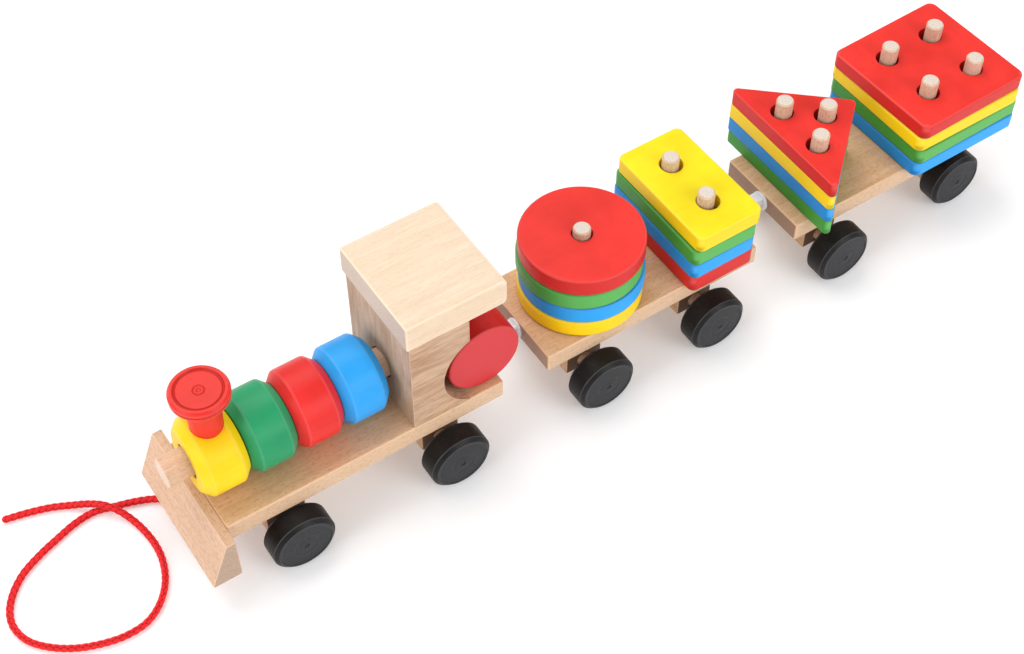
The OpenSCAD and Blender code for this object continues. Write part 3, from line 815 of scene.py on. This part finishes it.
# From the blind axle hole round the tread to the turned rings of the outer face
WHEEL = rounded(
    [(0, 8.5), (AXLE_R, 8.5), (AXLE_R, 0), (12.1, 0), (13.3, 1.2), (13.3, 9.2), (11.6, 10.75),
     (10.9, 10.75), (10.5, 10.5), (5.2, 10.72), (5.0, 10.6), (1.35, 10.8), (1.0, 10.4), (0, 10.4)],
    [0, 0, 0, 0.5, 0.6, 0.9, 0.5, 0.25, 0.2, 0.15, 0.15, 0.2, 0.2, 0], 5, closed=False,
)
for pre, end, body, x, shift in AXLE_PLACES:
    wheelset = "%s_wheelset_%s" % (pre, end)
    x0, x1 = x - BLOCK_HALF_LENGTH, x + BLOCK_HALF_LENGTH
    profile_block(
        "Block_%s_%s" % (pre, end), "%s_block_%s" % (pre, end), body, block_wood_shadowed_ends,
        Outline(
            [(x0, BLOCK_BOTTOM), (x1, BLOCK_BOTTOM), (x1, DECK_BOTTOM), (x0, DECK_BOTTOM)],
            [0.8, 0.8, 0.3, 0.3],
        ),
        BLOCK_HALF_WIDTH, 0.6, [Circle(x, AXLE_Z, AXLE_BORE, 40)],
    )
    bm = bmesh.new()
    lathe(bm, "y", (x, shift, AXLE_Z), AXLE, 40)
    node = "%s_axle_%s" % (pre, end)
    piece("Axle_%s_%s" % (pre, end), node, wheelset, axle_wood, bm)
    bm = bmesh.new()
    for s in (-1, 1):
        lathe(bm, "y", (x, shift + s * WHEEL_INNER, AXLE_Z), WHEEL, 96, s)
    node = "%s_wheels_%s" % (pre, end)
    piece("Wheels_%s_%s" % (pre, end), node, wheelset, black, bm)

# ---------------------------------------------------------------- cab, roof, drum and rod

# The cab's outline runs up the cove, from where it meets the deck to where it meets the back
cab = [(CAB_FRONT, DECK_TOP)]
a0 = math.atan2(DECK_TOP - COVE_Z, COVE_FOOT_X - COVE_X) + 2 * math.pi
a1 = math.atan2(COVE_HEAD_Z - COVE_Z, CAB_BACK - COVE_X)
for k in range(COVE_STEPS + 1):
    a = a0 + (a1 - a0) * k / COVE_STEPS
    cab.append((COVE_X + COVE_R * math.cos(a), COVE_Z + COVE_R * math.sin(a)))
cab += [(CAB_BACK, CAB_TOP), (CAB_FRONT, CAB_TOP)]
bm = bmesh.new()
lay = edge_layer(bm)
near = [bm.verts.new((x, -HALF, z)) for x, z in cab]
far = [bm.verts.new((x, HALF, z)) for x, z in cab]
bm.faces.new(near)
bm.faces.new(far)
for i in range(len(cab)):
    bm.faces.new((near[i - 1], near[i], far[i], far[i - 1]))
bmesh.ops.recalc_face_normals(bm, faces=bm.faces)
sharp_edges = [e for e in bm.edges if e.calc_face_angle() > math.radians(30)]
made = bmesh.ops.bevel(
    bm, geom=sharp_edges, offset=0.5, offset_type="OFFSET", segments=4, profile=0.5,
    affect="EDGES", clamp_overlap=True,
)
made = set(made["faces"])
for v in bm.verts:
    v[lay] = 1.0 if all(f in made for f in v.link_faces) else 0.0
bmesh.ops.triangulate(bm, faces=[f for f in bm.faces if len(f.verts) > 4])
o = piece("Cab", "cab_body", "locomotive", cab_wood("cab_wood"), bm)
tool = bmesh.new()
lathe(
    tool, "x", (CAB_FRONT - 2, 0, ROD_Z),
    [(0, 0, 0), (ROD_R + 0.7, 0, 0), (ROD_R + 0.7, 4.0, 0), (0, 4.0, 0)], 96,
)
cut(o, tool)

profile_block(
    "Roof", "cab_roof", "locomotive",
    wood("roof_wood", *ROOF, "x", 8, 0.16, end=(0.62, 0.50, 0.42)),
    Outline(
        [(ROOF_FRONT, ROOF_BOTTOM), (ROOF_BACK, ROOF_BOTTOM),
         (ROOF_BACK, ROOF_TOP), (ROOF_FRONT, ROOF_TOP)],
        [0.9, 2.4, 2.4, 0.9], 8,
    ),
    ROOF_HALF, 1.0,
)


def turned(name, node, body, material, axis, centre, profile, segments):
    """A piece turned about an axis."""
    bm = bmesh.new()
    lathe(bm, axis, centre, profile, segments)
    return piece(name, node, body, material, bm)


turned(
    "Boiler_rod", "boiler_rod", "locomotive",
    wood("rod_wood", *BUMPER, "x", 9, end=(0.80, 0.66, 0.54)), "x", (ROD_FRONT, 0, ROD_Z),
    rounded([(0, 0), (ROD_R, 0), (ROD_R, ROD_LENGTH), (0, ROD_LENGTH)], [0, 0.6, 0.2, 0], 4, False),
    72,
)
# The drum's own red is the deep red; its ends, toward Y, take a lighter, pinker red as painted
# light
turned(
    "Drum", "firebox_drum", "locomotive",
    paint("drum_paint", RED_DEEP_AND_SHADED, "y", 10, 0.74, end=CRIMSON_LIT_END), "y",
    (DRUM_X, -DRUM_HALF, DECK_TOP + DRUM_R),
    rounded(
        [(0, 0), (DRUM_R, 0), (DRUM_R, 2 * DRUM_HALF), (0, 2 * DRUM_HALF)],
        [0, 0.9, 0.9, 0], 5, False,
    ),
    128,
)

# ---------------------------------------------------------------- boiler rings and chimney

RING = rounded(
    [(RING_HOLE, 0), (RING_R - RING_BEVEL, 0), (RING_R, RING_BEVEL), (RING_R, RING_T - RING_BEVEL),
     (RING_R - RING_BEVEL, RING_T), (RING_HOLE, RING_T)],
    [0.6, 1.2, 2.0, 2.0, 1.2, 0.6], 6, True,
)
# Colour, front face in X, tone, seed
RINGS = (
    ("yellow", -188.7, RING_YELLOW, 11),
    ("green", -168.9, SEA_GREEN, 12),
    ("red", -149.3, RING_RED, 13),
    ("blue", -129.7, SKY_BLUE, 14),
)
for color, x, rgb, seed in RINGS:
    o = turned(
        "Ring_" + color, "ring_" + color, "ring_" + color,
        paint("ring_paint_" + color, rgb, "x", seed, 0.74), "x", (x, 0, RING_Z), RING, 128,
    )
    if color == "yellow":
        tool = bmesh.new()
        lathe(
            tool, "z", (CHIMNEY_X, 0, CHIMNEY_SEAT),
            [(0, 0, 0), (CHIMNEY_HOLE, 0, 0), (CHIMNEY_HOLE, 15, 0), (0, 15, 0)], 96,
        )
        cut(o, tool)

# Up the stem, out along the flange, over the rim and in over the top: radius, height, corner
h = CHIMNEY_TOP - CHIMNEY_SEAT
CHIMNEY = (
    (0, 0.05, 0), (CHIMNEY_STEM, 0.05, 0.3), (CHIMNEY_STEM, 9.0, 1.5), (6.8, h - 11.0, 1.5),
    (7.2, h - 9.6, 1.0), (8.2, h - 8.0, 1.0), (9.6, h - 6.4, 1.0), (10.9, h - 4.5, 0.4),
    (11.3, h - 3.7, 0.3), (11.2, h - 3.2, 0.2), (10.8, h - 2.9, 0.2), (11.3, h - 2.5, 0.2),
    (11.4, h - 1.3, 0.9), (10.4, h, 0.5), (9.5, h, 0.4), (9.0, h - 0.9, 0.2), (8.6, h - 1.0, 0.2),
    (8.1, h - 0.6, 0.3), (2.5, h - 0.7, 0.1), (2.1, h - 1.1, 0.2), (1.6, h - 0.8, 0.1),
    (1.0, h - 0.8, 0.1), (0.7, h - 1.1, 0.1), (0, h - 1.1, 0),
)
# Grooves, painted darker as shade through the edge value: radius, height, reach, edge value
GROOVE_SHADE = (
    (8.7, h - 1.0, 0.55, -0.6),
    (2.1, h - 1.1, 0.35, -0.4),
    (0.6, h - 1.1, 0.5, -0.3),
    (10.9, h - 2.9, 0.35, -0.7),
)


def grooved(r, z, edge):
    """The edge value of a point of the chimney's profile, lowered where it lies in a groove, where
    the paint darkens it as painted shade.
    """
    return min([e for gr, gz, reach, e in GROOVE_SHADE if math.hypot(r - gr, z - gz) < reach] + [edge])


profile = rounded([(r, z) for r, z, _ in CHIMNEY], [corner for _, _, corner in CHIMNEY], 4, False)
turned(
    "Chimney", "chimney", "chimney",
    paint("chimney_paint", CHIMNEY_RED, "z", 15, 0.74), "z", (CHIMNEY_X, 0, CHIMNEY_SEAT),
    [(r, z, grooved(r, z, e)) for r, z, e in profile], 128,
)

# ---------------------------------------------------------------- pegs and plates

# A peg with an eased top, from its sunk end
PEG_PROFILE = rounded(
    [(0, 0), (PEG_R, 0), (PEG_R, 41.8), (3.0, 42.4), (0, 42.4)], [0, 0, 0.6, 0.5, 0], 4, False,
)


def pegs(name, node, body, places, material):
    bm = bmesh.new()
    for x, y in places:
        lathe(bm, "z", (x, y, DECK_TOP - PEG_SUNK), PEG_PROFILE, 48)
    piece(name, node, body, material, bm)


disc_pegs = [(DISC_X, 0)]
rect_pegs = [(RECT_X, s * 11.8) for s in (-1, 1)]
rect_holes = [(RECT_X, s * 12.2) for s in (-1, 1)]
tri_pegs = [(TRI_X + 9.8, -11.7), (TRI_X + 9.8, 11.7), (TRI_X + 23.6, 0)]
square_pegs = [(SQ_X + a * 12.6, b * 12.6) for a in (-1, 1) for b in (-1, 1)]
peg_wood = wood("peg_wood", *PEG, "z", 16, 0.5, end=(0.74, 0.66, 0.58))
pegs("Peg_disc", "disc_peg", "wagon_1", disc_pegs, peg_wood)
pegs("Pegs_rectangle", "rectangle_pegs", "wagon_1", rect_pegs, peg_wood)
pegs("Pegs_triangle", "triangle_pegs", "wagon_2", tri_pegs, peg_wood)
pegs("Pegs_square", "square_pegs", "wagon_2", square_pegs, peg_wood)


def oblong(x, half_x, half_y, corner, steps):
    """A rectangle about (x, 0) with round corners."""
    return Outline(
        [(x - half_x, -half_y), (x + half_x, -half_y), (x + half_x, half_y), (x - half_x, half_y)],
        corner, steps,
    )


DISC = Circle(DISC_X, 0, DISC_R, 144, False)
RECT = oblong(RECT_X, 15.9, 28.1, 3.0, 8)
SQUARE = oblong(SQ_X, 29, 29, 3.6, 10)
TRI = Outline([(TRI_X, -36.0), (TRI_X + 40.6, 0), (TRI_X, 36.0)], 2.0, 8)
# Kind, outline, centre in X, holes, thickness, radius of a hole, bevel, grain and wear of the
# paint, then its plates from the deck up: colour, shift in X, shift in Y, turn in degrees
STACKS = (
    ("disc", DISC, DISC_X, disc_pegs, 8.3, 4.3, 1.2, "x", 0.74, (
        ("yellow", 0, 0, 0), ("blue", 0.4, -0.3, 0),
        ("green", -0.45, 0.25, 0), ("red", 0.1, 0, 0))),
    ("rectangle", RECT, RECT_X, rect_holes, 7.9, 4.9, 1.0, "x", 0.74, (
        ("red", -0.3, 0.2, 0), ("blue", -0.5, 0.2, 0.4),
        ("green", -0.3, 0.1, -0.3), ("yellow", 0.6, -0.3, 0.4))),
    ("triangle", TRI, TRI_X + 14, tri_pegs, 7.4, 4.9, 0.6, "y", 0.70, (
        ("green", -0.2, 0.2, 0), ("blue", -0.5, 0.4, 0.3),
        ("yellow", -0.6, 0.5, 0), ("red", -0.5, 0.4, -0.3))),
    ("square", SQUARE, SQ_X, square_pegs, 7.4, 4.9, 1.0, "y", 0.74, (
        ("blue", 0.3, -0.1, 0.6), ("green", 0.2, 0.1, 1.2),
        ("yellow", -0.2, 0.3, 0.3), ("red", -0.35, 0.35, 1.9))),
)
seed = 20
for kind, outline, mid, places, t, hole_r, bevel, grain, worn, plates in STACKS:
    for n, (color, dx, dy, turn) in enumerate(plates):
        seed += 1
        z = DECK_TOP + PLATE_GAP + n * (t + PLATE_GAP)
        bm = bmesh.new()
        prism(bm, "z", outline, z, z + t, bevel, [Circle(x, y, hole_r, 48) for x, y in places], 0.5)
        settle = (
            Matrix.Translation((mid + dx, dy, 0)) @ Matrix.Rotation(math.radians(turn), 4, "Z")
            @ Matrix.Translation((-mid, 0, 0))
        )
        bm.transform(settle)
        node = "%s_%s" % (kind, color)
        # The lower rim lies in shade, so it is darkened and doesn't catch the light
        low, lay = z + t / 2, edge_layer(bm)
        for v in bm.verts:
            if v.co.z < low:
                v[lay] *= -0.8
        base, side, end = COLORS[color]
        specks = 0.5 if node == "disc_yellow" else 0.0
        plate_paint = paint(
            "paint_" + node, base, grain, seed, worn, side=side, end=end, specks=specks
        )
        piece("Plate_" + node, node, node, plate_paint, bm)

# ---------------------------------------------------------------- couplings

# The eye's flange and stem, the fork's flange, the eye itself and the pin
FLANGE = rounded(
    [(0, 0), (4.4, 0), (4.4, 1.2), (3.2, 1.8), (2.0, 2.1), (1.7, 3.0), (1.7, 8.0), (0, 8.0)],
    [0, 0.3, 0.5, 0.4, 0.4, 0.4, 0, 0], 4, False,
)
DOME = rounded(
    [(0, 0), (4.4, 0), (4.4, 1.0), (3.6, 1.8), (0, 2.1)], [0, 0.3, 0.7, 0.9, 0], 5, False,
)
EYE_RING = rounded([(1.96, 0), (EYE_R, 0), (EYE_R, 4), (1.96, 4)], 0.6, 4, True)
PIN = rounded(
    [(0, 0), (PIN_R, 0), (PIN_R, 8.3), (2.6, 8.3), (2.3, 8.8), (0, 8.8)],
    [0, 0.2, 0, 0.2, 0.2, 0], 3, False,
)
for i, front, rear, wall_a, wall_b in (
    (1, "locomotive", "wagon_1", LOCO[1], W1[0]),
    (2, "wagon_1", "wagon_2", W1[1], W2[0]),
):
    x = (wall_a + wall_b) / 2
    bm = bmesh.new()
    lathe(bm, "x", (wall_a, 0, COUPLING_Z), FLANGE, 48)
    lathe(bm, "z", (x, 0, COUPLING_Z - 2), EYE_RING, 48)
    piece("Coupling_eye_%d" % i, "coupling_%d_eye" % i, front, plastic, bm)

    bm = bmesh.new()
    lathe(bm, "x", (wall_b, 0, COUPLING_Z), DOME, 48, -1)
    # Each tongue of the fork runs round the pin and back to the wagon
    tongue = [(wall_b - 1.2, -NECK_HALF), (wall_b - 1.2, NECK_HALF)]
    for k in range(TONGUE_STEPS + 1):
        a = math.radians(TONGUE_GAP + (360 - 2 * TONGUE_GAP) * k / TONGUE_STEPS)
        tongue.append((x + EYE_R * math.cos(a), EYE_R * math.sin(a)))
    tongue = Outline(tongue)
    for z in (COUPLING_Z - 3.9, COUPLING_Z + 2.3):
        prism(bm, "z", tongue, z, z + 1.6, 0.4, [Circle(x, 0, PIN_R, 32)], 0.2, 3, 0.3)
    x0, x1 = x + 4.6, wall_b - 1
    neck = Outline([(x0, -NECK_HALF), (x1, -NECK_HALF), (x1, NECK_HALF), (x0, NECK_HALF)])
    prism(bm, "z", neck, COUPLING_Z - 3.0, COUPLING_Z + 3.0, 1.5, (), 0.2, 6, 0.4)
    piece("Coupling_fork_%d" % i, "coupling_%d_fork" % i, rear, plastic, bm)

    turned(
        "Coupling_pin_%d" % i, "coupling_%d_pin" % i, rear, plastic, "z",
        (x, 0, COUPLING_Z - 4.4), PIN, 40,
    )

# ---------------------------------------------------------------- floor and light

bm = bmesh.new()
bmesh.ops.create_grid(bm, x_segments=2, y_segments=2, size=4.0)
me = bpy.data.meshes.new("Floor")
bm.to_mesh(me)
bm.free()
floor = bpy.data.objects.new("Floor", me)
bpy.context.scene.collection.objects.link(floor)
t = Tree("floor_white")
t.bsdf.inputs["Base Color"].default_value = (0.86, 0.86, 0.87, 1)
t.bsdf.inputs["Emission Color"].default_value = (1.0, 1.0, 1.0, 1)
t.bsdf.inputs["Emission Strength"].default_value = 0.20
t.bsdf.inputs["Roughness"].default_value = 0.9
t.bsdf.inputs["Specular IOR Level"].default_value = 0.1
me.materials.append(t.mat)
floor.location.z = -FLOOR_GAP

world = bpy.data.worlds.new("World")
bpy.context.scene.world = world
world.use_nodes = True
background = world.node_tree.nodes["Background"]
background.inputs["Color"].default_value = (1.0, 1.0, 1.0, 1)
background.inputs["Strength"].default_value = 0.56


def lamp(name, place_at, size, power):
    """A rectangular light that looks at the origin."""
    d = bpy.data.lights.new(name, "AREA")
    d.shape = "RECTANGLE"
    d.size, d.size_y = size
    d.energy = power
    o = bpy.data.objects.new(name, d)
    bpy.context.scene.collection.objects.link(o)
    o.location = place_at
    o.rotation_euler = (-Vector(place_at)).to_track_quat("-Z", "Y").to_euler()


lamp("Key", (-0.15, 0.75, 1.5), (1.4, 1.2), 17)
lamp("Fill", (0.45, -1.3, 0.75), (1.0, 0.8), 10)
lamp("Front", (-2.0, -0.2, 0.8), (1.2, 1.0), 15)
